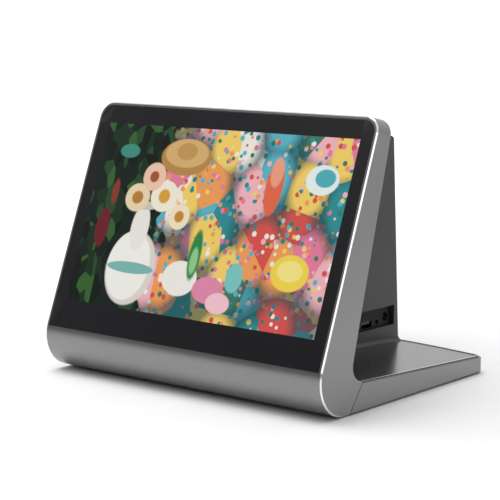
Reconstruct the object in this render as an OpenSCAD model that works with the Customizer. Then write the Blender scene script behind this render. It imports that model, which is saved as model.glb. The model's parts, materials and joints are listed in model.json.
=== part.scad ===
// Desktop smart display: a leaned-back screen in a silver frame, standing on a wedge-shaped base,
// with a dark spine behind it that holds the electronics, the loudspeaker, the keys and the sockets.
// Millimetres. X runs across, Y to the rear, Z up. The origin is on the table, under the middle.

/* [Overall size] */
// Width across the two side bands
overall_w = 240; // [220:1:290]
// Depth from the front of the nose to the middle of the base's rear edge
overall_d = 203; // [190:1:245]
// Height from the table to the top edge of the screen frame
overall_h = 185.4; // [165:0.2:225]
// Angle that the screen leans back from upright
lean = 21.4; // [17:0.2:25]

/* [Screen] */
// Thickness of the cover glass
glass_t = 1.5; // [1:0.1:2]
// Depth of the glass face behind the front of the frame
glass_recess = 0.15; // [0:0.05:0.3]
// Gap round the glass
glass_gap = 0.15; // [0.1:0.05:0.4]
// Radius of the glass's top corners
glass_corner_r = 8.7; // [4:0.1:10]
// Distance that the glass runs down past the start of the nose
glass_drop = 2.3; // [0:0.1:4]
// Black border beside the picture
border_side = 9.2; // [5:0.1:16]
// Black border above the picture
border_top = 12.85; // [6:0.05:20]
// Black border below the picture
border_bottom = 19.65; // [14:0.05:28]
// Thickness of the liquid crystal cell
lcd_t = 1.4; // [1:0.1:2]
// Width of the cell's edge round the picture
lcd_edge = 3; // [2:0.1:4]
// Width of the cell's lower edge, which carries its driver chips
lcd_foot = 8; // [5:0.1:10]
// Thickness of the backlight
backlight_t = 2.8; // [2:0.1:4]
// Thickness of the pressed steel of the screen's tray
sheet_t = 0.8; // [0.5:0.1:1.2]

/* [Front frame] */
// Radius of the nose that the screen's front rolls under with
nose_r = 24.8; // [20:0.2:30]
// Thickness of the moulded walls of the frame and the base
wall_t = 2.6; // [2.2:0.1:3.2]
// Width of the frame's edge round the glass
frame_rim = 2.3; // [1.6:0.1:3.5]
// Radius of the frame's top corners
corner_r = 11; // [8:0.5:16]
// Slope of the frame's top surface down to the rear
top_slope = 11.4; // [6:0.2:16]
// Depth of the side band, square to the glass, at the nose
band_foot_d = 31.9; // [28:0.1:36]
// Depth of the side band, square to the glass, at the top
band_head_d = 14.5; // [13:0.1:20]
// Radius where the band's rear edge turns into the base
fillet_r = 11; // [6:0.5:16]
// Distance that the slanted seam between frame and base leans forward
seam_rake = 13.5; // [8:0.5:16]
// Gap at the seam between frame and base
seam_gap = 0.15; // [0.05:0.05:0.4]

/* [Base] */
// Height of the base's top line, carried forward to the nose
base_front_h = 21.2; // [20:0.1:26]
// Height of the base at the middle of its rear edge
base_rear_h = 10.6; // [10:0.1:14]
// Radius of the bowed rear edge, seen from above
bow_r = 484; // [300:1:900]
// Radius of the base's rear corners
base_corner_r = 5.3; // [4:0.1:10]
// Distance that the raised lip is set in from the side
lip_inset = 1.5; // [0.8:0.1:1.8]
// Height of the raised lip above the side wall
lip_h = 1.1; // [0.6:0.1:1.6]
// Thickness of the screen's back cover and the base's top plate
plate_t = 2.2; // [1.6:0.1:2.6]
// Distance that the back cover and the top plate lie below their edges
plate_sink = 0.5; // [0.2:0.1:0.8]
// Gap round the plates
plate_gap = 0.3; // [0.2:0.05:0.5]
// Thickness of the steel weight plate
ballast_t = 3; // [2:0.1:3]
// Radius of a rubber foot
foot_r = 7; // [5:0.5:9]
// Height of the rubber feet below the base
foot_h = 1; // [0.6:0.1:2]

/* [Rear housing] */
// Width of the rear housing
housing_w = 87; // [84:1:110]
// Height of the rear housing above the base, up its rear face
housing_h = 150.5; // [130:0.5:155]
// Angle that the housing's rear face leans forward
back_lean = 3.3; // [0:0.1:5]
// Thickness of the rear housing's walls
housing_wall = 2.4; // [2:0.1:3]
// Distance from the base's rear edge to the housing at the housing's corner
housing_setback = 3.4; // [3.2:0.1:8]
// Radius of the housing's upright corners
housing_corner_r = 3; // [2.5:0.1:5]
// Radius of the housing's rear top edge
housing_top_r = 7; // [4:0.5:12]

/* [Socket bay] */
// Height of the bay
bay_h = 14; // [14:0.1:18]
// Height of the bay's lower edge above the table
bay_z = 24.7; // [23.5:0.1:30]
// Distance from the housing's rear face to the bay
bay_rear_gap = 8; // [7:0.5:20]
// Depth of the bay's rim behind the housing wall
bay_rim_t = 1; // [0.6:0.1:2]
// Gap between two sockets
socket_gap = 2.2; // [1.5:0.1:3]

/* [Loudspeaker] */
// Radius of the loudspeaker's flange
speaker_r = 22; // [18:0.5:24]
// Height of the loudspeaker's centre above the base
speaker_z = 112; // [100:1:115]
// Radius of one sound hole
sound_hole_r = 1.2; // [0.8:0.1:1.4]
// Distance between the sound holes
sound_hole_pitch = 5; // [4:0.1:6]

/* [Keys] */
// Radius of the round power key and half the width of the volume keys
key_r = 4; // [3:0.1:5]
// Length of a volume key
key_l = 14; // [11:0.5:15]
// Gap round a key
key_gap = 0.3; // [0.2:0.05:0.4]
// Distance that a key stands out of the housing
key_proud = 1; // [0.8:0.1:1.5]
// Travel of a key
key_travel = 0.6; // [0.3:0.05:0.8]
// Distance between two keys
key_pitch = 18; // [16:0.5:20]

/* [Hidden] */

$fn = 64;
// A rounded corner's circle stands this far proud of the lines it runs into, so that they cross cleanly
bite = 0.003;

// ---- screen plane ----
// A point is given as its depth behind the glass face and its distance up the glass from where the
// flat front turns into the nose.
front_y = -overall_d / 2;
rear_y = overall_d / 2;
nose_c = [front_y + nose_r, foot_h + nose_r];
panel_0 = nose_c + nose_r * [-cos(lean), sin(lean)];
panel_top = (overall_h - panel_0.y) / cos(lean);
function panel_pt(depth, up) =
    panel_0 + depth * [cos(lean), -sin(lean)] + up * [sin(lean), cos(lean)];

// Where the line through p along u meets the line through q along v
function cross2(a, b) = a.x * b.y - a.y * b.x;
function meet(p, u, q, v) = p + u * cross2(q - p, v) / cross2(u, v);
function unit(v) = v / norm(v);
function turned(v) = [-v.y, v.x];

glass_foot = -glass_drop;
glass_head = panel_top - frame_rim - glass_gap;
glass_w = overall_w - 2 * (frame_rim + glass_gap);
glass_back = glass_recess + glass_t;
active_w = glass_w - 2 * border_side;
active_foot = glass_foot + border_bottom;
active_head = glass_head - border_top;
lcd_w = active_w + 2 * lcd_edge;
lcd_foot_s = active_foot - lcd_foot;
lcd_head_s = active_head + lcd_edge;
lcd_back = glass_back + lcd_t;
backlight_back = lcd_back + backlight_t;
tray_back = backlight_back + sheet_t;
tray_gap = 0.3;
tray_wall = 1.2;
tray_w = lcd_w + 2 * (tray_gap + tray_wall);
tray_foot_s = lcd_foot_s - tray_gap - tray_wall;
tray_head_s = lcd_head_s + tray_gap + tray_wall;

// ---- side outline ----
top_dir = [cos(top_slope), -sin(top_slope)];
top_corner = panel_pt(0, panel_top);
band_foot = panel_pt(band_foot_d, 0);
band_head = panel_pt(band_head_d, panel_top);
band_dir = unit(band_head - band_foot);
band_lean = atan2(band_dir.x, band_dir.y);
// Normal of the band's rear edge, pointing into the frame
band_in = turned(band_dir);
band_end = meet(top_corner, top_dir, band_foot, band_dir);

base_fall = (base_front_h - base_rear_h) / overall_d;
base_slope = atan(base_fall);
rim_dir = [cos(base_slope), -sin(base_slope)];
function rim_z(y) = foot_h + base_front_h - base_fall * (y - front_y);

heel = meet([front_y, rim_z(front_y)], rim_dir, band_foot, band_dir);
heel_half = acos(rim_dir * band_dir) / 2;
heel_run = fillet_r / tan(heel_half);
fillet_c = heel + unit(rim_dir + band_dir) * fillet_r / sin(heel_half);
fillet_low = heel + rim_dir * heel_run;
fillet_high = heel + band_dir * heel_run;
// The seam starts this far behind the nose's lowest line, or farther, whatever the nose's radius
seam_behind_nose = 5;
seam_foot = [max(fillet_low.x - seam_rake, nose_c.x + seam_behind_nose), foot_h];
seam_dir = unit(fillet_low - seam_foot);

// ---- base, from above ----
bow_c = rear_y - bow_r;
function bow_y(x) = bow_c + sqrt(bow_r * bow_r - x * x);
plate_front = fillet_low.x + plate_gap;
floor_top = foot_h + wall_t;
plate_low_drop = plate_sink + plate_t;
ledge_w = 2.2;
ledge_t = 1.5;
tongue_l = 22;
tongue_t = 2.2;
tongue_side_gap = 8;

// ---- rear housing, in a frame that lies on the base's top plate ----
housing_back = bow_y(housing_w / 2) - housing_setback;
housing_half = housing_w / 2;
housing_in = housing_half - housing_wall;
boss_r = 3.2;
housing_boss_h = 7;
housing_boss_x = housing_in - boss_r + 0.4;
housing_boss_back = housing_wall + boss_r + 1;
housing_boss_step = 62;

// ---- fasteners ----
screw_r = 1.5;
screw_head_r = 2.75;
screw_head_t = 1.5;
screw_l = 6;
small_screw_r = 1;
small_head_r = 1.9;
small_head_t = 1.2;
small_screw_l = 5;
tray_screw_l = 3.4;
bottom_screw_l = 3.8;
hex_size = 0.45;
hex_depth = 0.7;
thread_gap = 0.03;
hole_gap = 0.2;

tray_boss_x = 70;
tray_boss_r = 3;
tray_boss_out = 4;
tray_ear_w = 10;
tray_ear_l = 8;
cover_post_x = 30;
cover_post_s = [42, 118];
cover_post_r = 3;

bottom_screw_x = [overall_w / 2 - 30, overall_w / 2 - 60];
edge_boss_x = overall_w / 2 - wall_t - boss_r;
edge_boss_y = [plate_front + 22, rear_y - 42];
foot_x = overall_w / 2 - 24;
foot_y = [plate_front + 8, rear_y - 32];
screw_to_foot = foot_r + screw_head_r + hole_gap + 2;
bottom_screw_y = [min(nose_c.x + 15, foot_y[0] - screw_to_foot), plate_front + 40, rear_y - 50];
ballast_front = nose_c.x + tongue_l + 2;
ballast_rear = rear_y - 36;
ballast_w = overall_w - 2 * (wall_t + 16);

// ---- sockets and main board ----
// Widths along the bay, from the rear: power, sound, two universal serial, network
SOCKET_W = [9, 7, 13.2, 13.2, 16];
SOCKET_H = [11, 6, 5.8, 5.8, 13];
SOCKET_L = [14.5, 14, 17, 17, 21];
function sum_to(list, n) = n == 0 ? 0 : list[n - 1] + sum_to(list, n - 1);
bay_l = sum_to(SOCKET_W, len(SOCKET_W)) + (len(SOCKET_W) + 1) * socket_gap;
bay_rear = housing_back - bay_rear_gap;
bay_front = bay_rear - bay_l;
function socket_y(i) = bay_rear - (i + 1) * socket_gap - sum_to(SOCKET_W, i) - SOCKET_W[i] / 2;
board_t = 1.6;
board_top = bay_z + 0.5;
board_front = bay_front - 9;
board_rear = bay_rear + 1;
board_x = [-housing_in + 2.5, housing_in - 4.5];
port_plate_t = 1.5;
port_face = housing_in - bay_rim_t;
bay_frame_w = 2.5;
audio_hole_r = 1.8;
audio_hole_l = 12;
power_hole_r = 3.2;
power_pin_r = 1;
contact_t = 1.8;
contact_side = 1;
contact_low = 3;
serial_l = 14;
network_l = 14;
network_w = 11.8;
network_latch_w = 6;
network_z = [2, 10.2, 11.8];
power_hole_l = 10;
shell_t = 0.4;
can_w = 30;
can_h = 3.2;
can_c = [-14, (board_front + board_rear) / 2];
sink_w = 32;
sink_base_t = 2;
sink_fin_h = 8;
sink_fin_t = 1;
sink_fins = 8;
flex_w = 28;
flex_t = 0.3;
board_hole_in = 5;
board_hole_x = [board_x[0] + board_hole_in, flex_w / 2 + small_head_r + 2];
board_hole_y = [board_front + board_hole_in, board_rear - board_hole_in];
flex_start_s = 30;
flex_flat_l = 8;
flex_slot_h = 10;
flex_slot_side = 2;
flex_level_l = 26;
flex_depth = tray_back + flex_t / 2 + 0.02;
flex_bend = panel_pt(flex_depth, flex_start_s + flex_flat_l);
flex_route = [panel_pt(flex_depth, flex_start_s), flex_bend, flex_bend + [flex_level_l, 0],
    [board_front + 2, board_top + 1.5], [board_front + 8, board_top + flex_t / 2 + 0.02]];
mic_x = 40;
mic_back = 6;
mic_hole_r = 0.5;
mic_board_end = 6;
mic_board_w = 5;
mic_board_t = 1;
antenna_x = 82;
antenna_l = 44;
antenna_s = [60, 72];
antenna_t = 0.4;
band_splay = lean - band_lean;
function cover_post_l(up) =
    (band_foot_d - up * sin(band_splay) - tray_back + sheet_t / 2) / cos(band_splay);

// ---- loudspeaker and keys, measured forward from the housing's rear face ----
gasket_t = 2;
flange_t = 1.5;
baffle_t = 2.5;
flange_q = housing_wall + gasket_t;
baffle_q = flange_q + flange_t;
box_q = baffle_q + baffle_t;
box_l = 46;
box_w = 2 * (housing_in - 8);
box_h = 56;
box_wall = 2;
basket_l = 12;
basket_t = 0.8;
magnet_r = 12;
magnet_l = 8;
cone_r = speaker_r - 4;
cone_hole_r = 5;
cone_t = 0.6;
cone_l = 8;
cone_dust_l = 6;
cone_side_gap = 0.5;
ear_r = 3.6;
speaker_boss_x = housing_in - 5;
speaker_boss_z = 22;
key_flange_t = 1;
key_flange_out = 1.2;
key_q = 24;
key_low_z = 78;
key_z = [key_low_z, key_low_z + key_pitch, key_low_z + 2 * key_pitch];
key_board_hole_z = [key_z[0] - key_l / 2 - 5, key_z[2] + key_r + 6];
switch_r = 1.6;
key_screw_l = 4;
switch_gap = 0.1;
switch_h = 2;
key_board_t = 1.2;
key_board_w = 14;
key_board_end = 4;
key_face = -housing_in + key_flange_t + key_travel + switch_gap;
key_board_x = key_face + switch_h;

// ---- helpers ----
// Carries an outline drawn as [rearward, up] across the width
module side_extrude(w) rotate([90, 0, 90]) linear_extrude(w, center = true) children();

// The screen's frame of reference: Y is depth behind the glass, Z is up the glass
module on_panel() translate([0, panel_0.x, panel_0.y]) rotate([-lean, 0, 0]) children();

// A slab of the screen between two depths, from an outline drawn as [across, up the glass]
module panel_slab(d0, d1)
    on_panel() translate([0, d1, 0]) rotate([90, 0, 0]) linear_extrude(d1 - d0) children();

// The back cover's frame of reference: Y is out of its rear face, Z is up the cover
module on_cover() translate([0, band_foot.x, band_foot.y]) rotate([-band_lean, 0, 0]) children();

// The base's top plate under the housing's rear face: Y runs along the plate, Z out of it
module on_base() translate([0, housing_back, rim_z(housing_back) - plate_sink])
    rotate([-base_slope, 0, 0]) children();

// The housing's frame of reference: Z runs up its rear face, which leans forward
module on_housing() translate([0, housing_back, rim_z(housing_back) - plate_sink])
    rotate([back_lean, 0, 0]) children();

module box_between(low, high) translate(low) cube(high - low);

module upright_rod(r, z0, z1) translate([0, 0, z0]) cylinder(r = r, h = z1 - z0);

// A rod that runs rearward
module rear_rod(r, y0, y1) translate([0, y0, 0]) rotate([-90, 0, 0]) cylinder(r = r, h = y1 - y0);

// A rod that runs to the right
module side_rod(r, x0, x1) translate([x0, 0, 0]) rotate([0, 90, 0]) cylinder(r = r, h = x1 - x0);

// A rectangle whose two top corners are round
module top_rounded(w, low, high, r) {
    translate([-w / 2, low]) square([w, high - low - r]);
    translate([r - w / 2, low]) square([w - 2 * r, high - low]);
    for (side = [-1, 1]) translate([side * (w / 2 - r), high - r]) circle(r + bite);
}

// A screw along +Z, its head's underside at the origin
module screw(r, head_r, head_t, l) {
    upright_rod(r, -l, 0.01);
    difference() {
        upright_rod(head_r, 0, head_t);
        translate([0, 0, head_t - hex_depth]) cylinder(r = head_r * hex_size, h = head_t, $fn = 6);
    }
}
module small_screw(l) screw(small_screw_r, small_head_r, small_head_t, l);

// ---- side outlines ----
// The front and underside, set in by a wall, and open to the rear
module open_profile(inset) {
    top_in = top_corner + inset * turned(-top_dir);
    up = meet(panel_pt(inset, 0), [sin(lean), cos(lean)], top_in, top_dir);
    far = rear_y + 20;
    far_top = meet(up, top_dir, [far, 0], [0, 1]);
    polygon([up, panel_pt(inset, 0), nose_c, [nose_c.x, foot_h + inset], [far, foot_h + inset], far_top]);
    translate(nose_c) circle(nose_r - inset + bite, $fn = 160);
}

// All that lies rearward of the band's rear edge, moved in by a distance, and above the base
module behind_band(w, inset) {
    high = fillet_high + inset * band_in;
    low = fillet_low - inset * turned(rim_dir);
    far_high = high + 2 * overall_h * band_dir;
    far_low = low + 2 * overall_d * rim_dir;
    side_extrude(w) polygon([low, high, far_high, [far_low.x, far_high.y], far_low]);
    translate([0, fillet_c.x, fillet_c.y]) side_rod(fillet_r + inset + bite, -w / 2, w / 2);
}

// All that lies rearward of the slanted seam
module behind_seam(gap) polygon([seam_foot + [gap, 0] - 20 * seam_dir, seam_foot + [gap, 0] + 80 * seam_dir,
    [rear_y + 60, seam_foot.y + 80 * seam_dir.y], [rear_y + 60, seam_foot.y - 20 * seam_dir.y]]);

// All that lies below the base's top line, lowered by a drop, down to the base's underside
module under_rim(drop) polygon([[front_y, rim_z(front_y) - drop], [rear_y + 20, rim_z(rear_y + 20) - drop],
    [rear_y + 20, foot_h], [front_y, foot_h]]);

// Rounds the two top corners of a piece that is set in from the frame's outside
module trim_corners(inset) difference() {
    children();
    r = corner_r - inset;
    for (side = [0, 1]) mirror([side, 0, 0])
        translate([0, top_corner.x, top_corner.y]) rotate([-top_slope, 0, 0]) translate([0, 70, -inset])
            rotate([90, 0, 0]) linear_extrude(120) difference() {
                translate([overall_w / 2 - inset - r, -r]) square(r + 5);
                translate([overall_w / 2 - inset - r, -r]) circle(r + bite);
            }
}

// ---- screen ----
module tray_ears(r) for (side = [-1, 1], up = [tray_foot_s - tray_boss_out, tray_head_s + tray_boss_out])
    translate([side * tray_boss_x, 0, up]) rear_rod(r, wall_t - 0.5, backlight_back);

// Silver frame: side bands, top, chin and nose in one moulding, with a tongue under the base's floor
module front_frame() color("silver") difference() {
    union() {
        difference() {
            trim_corners(0) side_extrude(overall_w) open_profile(0);
            behind_band(overall_w + 2, 0);
            side_extrude(overall_w + 2) behind_seam(0);
            trim_corners(wall_t) side_extrude(overall_w - 2 * wall_t) open_profile(wall_t);
        }
        on_panel() tray_ears(tray_boss_r);
        side_extrude(overall_w - 2 * (wall_t + tongue_side_gap)) polygon([
            [nose_c.x, foot_h + 1], [seam_foot.x - 0.5, foot_h + 1], [seam_foot.x - 0.5, floor_top],
            [nose_c.x + tongue_l, floor_top], [nose_c.x + tongue_l, floor_top + tongue_t],
            [nose_c.x, floor_top + tongue_t]]);
    }
    panel_slab(-1, glass_back)
        top_rounded(overall_w - 2 * frame_rim, glass_foot - glass_gap, glass_head + glass_gap,
            glass_corner_r + glass_gap);
    panel_slab(0, wall_t + 0.4)
        translate([-lcd_w / 2 - tray_gap, lcd_foot_s - tray_gap])
            square([lcd_w + 2 * tray_gap, lcd_head_s - lcd_foot_s + 2 * tray_gap]);
    on_panel() for (side = [-1, 1], up = [tray_foot_s - tray_boss_out, tray_head_s + tray_boss_out])
        translate([side * tray_boss_x, 0, up])
            rear_rod(small_screw_r + thread_gap, glass_back + 0.2, backlight_back + 1);
    for (side = [-1, 1]) translate([side * bottom_screw_x[0], bottom_screw_y[0], 0])
        upright_rod(screw_r + thread_gap, floor_top - 1, floor_top + tongue_t + 1);
    for (side = [-1, 1]) translate([side * mic_x, top_corner.x, top_corner.y]) rotate([-top_slope, 0, 0])
        translate([0, mic_back, 0]) upright_rod(mic_hole_r, -wall_t - 1, 1);
}

module cover_glass() color("black") panel_slab(glass_recess, glass_back)
    top_rounded(glass_w, glass_foot, glass_head, glass_corner_r);

module lcd_panel() color("dimgray") panel_slab(glass_back, lcd_back)
    translate([-lcd_w / 2, lcd_foot_s]) square([lcd_w, lcd_head_s - lcd_foot_s]);

module backlight_unit() color("white") panel_slab(lcd_back, backlight_back)
    translate([-lcd_w / 2, lcd_foot_s]) square([lcd_w, lcd_head_s - lcd_foot_s]);

// Steel tray that holds the cell and the backlight against the frame, with posts for the back cover
module display_tray() color("lightsteelblue") difference() {
    union() {
        panel_slab(wall_t, tray_back)
            translate([-tray_w / 2, tray_foot_s]) square([tray_w, tray_head_s - tray_foot_s]);
        panel_slab(backlight_back, tray_back)
            for (side = [-1, 1]) translate([side * tray_boss_x - tray_ear_w / 2, tray_foot_s - tray_ear_l])
                square([tray_ear_w, tray_head_s - tray_foot_s + 2 * tray_ear_l]);
        on_cover() for (side = [-1, 1], up = cover_post_s) translate([side * cover_post_x, 0, up])
            rear_rod(cover_post_r, -cover_post_l(up), -plate_low_drop);
    }
    panel_slab(0, backlight_back)
        translate([-lcd_w / 2 - tray_gap, lcd_foot_s - tray_gap])
            square([lcd_w + 2 * tray_gap, lcd_head_s - lcd_foot_s + 2 * tray_gap]);
    on_panel() for (side = [-1, 1], up = [tray_foot_s - tray_boss_out, tray_head_s + tray_boss_out])
        translate([side * tray_boss_x, 0, up])
            rear_rod(small_screw_r + hole_gap, backlight_back - 1, tray_back + 1);
    on_cover() for (side = [-1, 1], up = cover_post_s) translate([side * cover_post_x, 0, up])
        rear_rod(small_screw_r + thread_gap, -plate_sink - small_screw_l - 0.5, 0);
}

module tray_screws() color("gray") on_panel()
    for (side = [-1, 1], up = [tray_foot_s - tray_boss_out, tray_head_s + tray_boss_out])
        translate([side * tray_boss_x, tray_back, up]) rotate([-90, 0, 0])
            small_screw(tray_screw_l);

module microphone_board() color("darkgreen")
    translate([0, top_corner.x, top_corner.y]) rotate([-top_slope, 0, 0])
        box_between([-mic_x - mic_board_end, mic_back - mic_board_w / 2, -wall_t - mic_board_t],
            [mic_x + mic_board_end, mic_back + mic_board_w / 2, -wall_t]);

module antenna(side) color("goldenrod") on_cover()
    box_between([side * antenna_x - antenna_l / 2, -plate_low_drop - antenna_t, antenna_s[0]],
        [side * antenna_x + antenna_l / 2, -plate_low_drop, antenna_s[1]]);
module antenna_left() antenna(-1);
module antenna_right() antenna(1);

// All that lies in front of the base's top plate, or above it
module before_base() polygon([[fillet_low.x, 0], [fillet_low.x, fillet_c.y], [rear_y, 2 * overall_h],
    [front_y, 2 * overall_h], [front_y, 0]]);

module panel_back_cover() color("dimgray") difference() {
    trim_corners(wall_t + plate_gap) intersection() {
        behind_band(overall_w - 2 * (wall_t + plate_gap), plate_low_drop);
        side_extrude(overall_w) open_profile(wall_t + plate_gap);
        side_extrude(overall_w) before_base();
    }
    behind_band(overall_w, plate_sink);
    on_cover() for (side = [-1, 1], up = cover_post_s) translate([side * cover_post_x, 0, up])
        rear_rod(small_screw_r + hole_gap, -plate_low_drop - 1, 1);
    box_between([-flex_w / 2 - flex_slot_side, flex_bend.x + flex_slot_side, flex_bend.y - flex_slot_h / 2],
        [flex_w / 2 + flex_slot_side, flex_bend.x + flex_level_l + flex_slot_side,
            flex_bend.y + flex_slot_h / 2]);
}

module cover_screws() color("gray") on_cover() for (side = [-1, 1], up = cover_post_s)
    translate([side * cover_post_x, -plate_sink, up]) rotate([-90, 0, 0]) small_screw(small_screw_l);

// Flat cable from the screen's tray, through the back cover, to the front edge of the main board
module display_flex() color("darkorange") side_extrude(flex_w)
    for (i = [0:len(flex_route) - 2]) {
        run = flex_route[i + 1] - flex_route[i];
        translate(flex_route[i]) rotate(atan2(run.y, run.x))
            translate([0, -flex_t / 2]) square([norm(run), flex_t]);
        translate(flex_route[i]) circle(flex_t / 2, $fn = 16);
    }

// ---- base ----
// The base seen from above, set in from its outside, with a bowed rear edge and round rear corners
module plan_outline(inset) {
    half = overall_w / 2 - inset;
    r = base_corner_r - min(inset, base_corner_r - 0.5);
    corner_x = half - r;
    corner_y = bow_c + sqrt(pow(bow_r - inset - r, 2) - corner_x * corner_x);
    tangent_x = corner_x * (bow_r - inset) / (bow_r - inset - r);
    front = seam_foot.x - 30;
    intersection() {
        translate([0, bow_c]) circle(bow_r - inset, $fn = 720);
        translate([-tangent_x, front]) square([2 * tangent_x, overall_d]);
    }
    translate([-half, front]) square([2 * half, corner_y - front]);
    for (side = [-1, 1]) translate([side * corner_x, corner_y]) circle(r + bite);
}

module plan_ring(outer, inner) linear_extrude(overall_h / 4) difference() {
    plan_outline(outer);
    plan_outline(inner);
}

module rearward_of(y) translate([y, 0]) square([overall_d + 60, overall_h]);

// Silver U of the base: side wall, raised lip, and a ledge and bosses that carry the plates
module base_frame() color("silver") difference() {
    union() {
        intersection() {
            plan_ring(0, wall_t);
            side_extrude(overall_w + 2) intersection() { under_rim(lip_h); behind_seam(seam_gap); }
        }
        intersection() {
            plan_ring(lip_inset, wall_t);
            side_extrude(overall_w + 2) intersection() {
                under_rim(0);
                behind_seam(seam_gap);
                rearward_of(plate_front - plate_gap);
            }
        }
        intersection() {
            plan_ring(wall_t - 0.2, wall_t + ledge_w);
            side_extrude(overall_w + 2) difference() {
                intersection() { under_rim(plate_low_drop); rearward_of(plate_front); }
                under_rim(plate_low_drop + ledge_t);
            }
        }
        intersection() {
            for (side = [-1, 1], y = edge_boss_y) translate([side * edge_boss_x, y, 0]) {
                upright_rod(boss_r, floor_top, overall_h / 4);
                box_between([min(0, side * (boss_r + 0.2)), -boss_r / 2, floor_top],
                    [max(0, side * (boss_r + 0.2)), boss_r / 2, overall_h / 4]);
            }
            side_extrude(overall_w) under_rim(plate_low_drop);
        }
    }
    for (side = [-1, 1], y = edge_boss_y) translate([side * edge_boss_x, y, 0])
        upright_rod(screw_r + thread_gap, floor_top - 1, floor_top + screw_l - 1);
}

module base_top_plate() color("darkgray") difference() {
    union() {
        intersection() {
            linear_extrude(overall_h / 4) plan_outline(wall_t + plate_gap);
            side_extrude(overall_w) difference() {
                intersection() { under_rim(plate_sink); rearward_of(plate_front); }
                under_rim(plate_low_drop);
            }
        }
        for (x = board_hole_x, y = board_hole_y) translate([x, y, 0])
            upright_rod(boss_r, rim_z(y) - plate_low_drop + 0.6, board_top - board_t);
    }
    for (x = board_hole_x, y = board_hole_y) translate([x, y, 0])
        upright_rod(small_screw_r + thread_gap, board_top - board_t - small_screw_l, board_top);
    on_base() housing_bosses() upright_rod(screw_r + hole_gap, -plate_t - 1, 1);
}

module base_bottom_plate() color("dimgray") difference() {
    intersection() {
        translate([0, 0, foot_h]) linear_extrude(wall_t) plan_outline(wall_t + plate_gap);
        side_extrude(overall_w) intersection() {
            rearward_of(seam_foot.x);
            behind_seam(seam_gap + plate_gap);
        }
    }
    bottom_screw_places() {
        upright_rod(screw_r + hole_gap, 0, overall_h / 4);
        upright_rod(screw_head_r + hole_gap, 0, foot_h + screw_head_t + 0.1);
    }
    foot_places() upright_rod(foot_r, 0, foot_h + 1);
}

module bottom_screw_places() {
    for (side = [-1, 1]) {
        translate([side * bottom_screw_x[0], bottom_screw_y[0], 0]) children();
        for (i = [1, 2]) translate([side * bottom_screw_x[1], bottom_screw_y[i], 0]) children();
        for (y = edge_boss_y) translate([side * edge_boss_x, y, 0]) children();
    }
}

module foot_places() for (side = [-1, 1], y = foot_y) translate([side * foot_x, y, 0]) children();

module ballast_plate() color("slategray") difference() {
    box_between([-ballast_w / 2, ballast_front, floor_top],
        [ballast_w / 2, ballast_rear, floor_top + ballast_t]);
    for (side = [-1, 1], i = [1, 2]) translate([side * bottom_screw_x[1], bottom_screw_y[i], 0])
        upright_rod(screw_r + thread_gap, 0, overall_h / 4);
}

module bottom_screws() color("gray") bottom_screw_places() translate([0, 0, foot_h + screw_head_t + 0.1])
    rotate([180, 0, 0]) screw(screw_r, screw_head_r, screw_head_t, bottom_screw_l);

module rubber_feet() color("black") foot_places() upright_rod(foot_r - 0.1, 0, foot_h + 1);

// ---- rear housing ----
module housing_outline(inset) {
    half = housing_half - inset;
    r = housing_corner_r - min(inset, housing_corner_r - 0.5);
    front = front_y - housing_back;
    translate([-half, front]) square([2 * half, -front - inset - r]);
    translate([r - half, front]) square([2 * (half - r), -front - inset]);
    for (side = [-1, 1]) translate([side * (half - r), -inset - r]) circle(r + bite);
}

// The housing's rear face and level top, seen from the side and set in by a wall
module housing_side(inset) {
    r = housing_top_r - inset;
    up = [sin(back_lean), cos(back_lean)];
    c = [-inset - r, housing_h - (inset + r) * (1 - sin(back_lean)) / cos(back_lean)];
    top_front = c + r * up + overall_d * turned(up);
    polygon([[-inset, -20], [-inset, c.y], c, c + r * up, top_front, [top_front.x, -20]]);
    translate(c) circle(r + bite);
}

module housing_body(inset) intersection() {
    translate([0, 0, -10]) linear_extrude(2 * housing_h) housing_outline(inset);
    side_extrude(housing_w + 2) housing_side(inset);
}

module housing_bosses() for (side = [-1, 1], i = [0, 1])
    translate([side * housing_boss_x, -housing_boss_back - i * housing_boss_step, 0]) children();

// Sound holes in rows, kept inside a circle
module sound_holes(r) for (i = [-6:6], j = [-6:6])
    let (x = (i + (j % 2 == 0 ? 0 : 0.5)) * sound_hole_pitch, z = j * sound_hole_pitch * sin(60))
        if (norm([x, z]) < cone_r - sound_hole_r) translate([x, 0, speaker_z + z]) children();

module speaker_bosses() for (side = [-1, 1], up = [-1, 1])
    translate([side * speaker_boss_x, 0, speaker_z + up * speaker_boss_z]) children();

module key_shape(long, grow) {
    for (end = long > 0 ? [-1, 1] : [0]) translate([0, end * long / 2]) circle(key_r + grow + bite);
    if (long > 0) square([2 * (key_r + grow), long], center = true);
}

// A key's body between two depths, cut from its outline and laid against the left wall
module key_solid(i, x0, x1, grow) translate([x0, -key_q, key_z[i]]) rotate([90, 0, 90])
    linear_extrude(x1 - x0) key_shape(i == 2 ? 0 : key_l - 2 * key_r, grow);

module rear_housing() color("dimgray") difference() {
    union() {
        difference() {
            intersection() {
                on_housing() difference() {
                    housing_body(0);
                    housing_body(housing_wall);
                }
                behind_band(housing_w + 2, plate_sink);
            }
            port_bay();
        }
        on_base() housing_bosses() upright_rod(boss_r, 0, housing_boss_h);
        on_housing() speaker_bosses() rear_rod(boss_r, -baffle_q, -housing_wall + 0.5);
        on_housing() for (end = [0, 1]) translate([0, -key_q, key_board_hole_z[end]])
            side_rod(boss_r - 0.6, -housing_in - 0.5, key_board_x);
    }
    on_base() housing_bosses() upright_rod(screw_r + thread_gap, -1, housing_boss_h - 1);
    on_housing() sound_holes() rear_rod(sound_hole_r, -housing_wall - 1, 1);
    on_housing() speaker_bosses() rear_rod(small_screw_r + thread_gap, -baffle_q - 1, -housing_wall);
    on_housing() for (i = [0:2]) key_solid(i, -housing_half - 1, -housing_in + 0.5, key_gap);
    on_housing() for (end = [0, 1]) translate([0, -key_q, key_board_hole_z[end]])
        side_rod(small_screw_r + thread_gap, -housing_in, key_board_x + 1);
}

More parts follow.
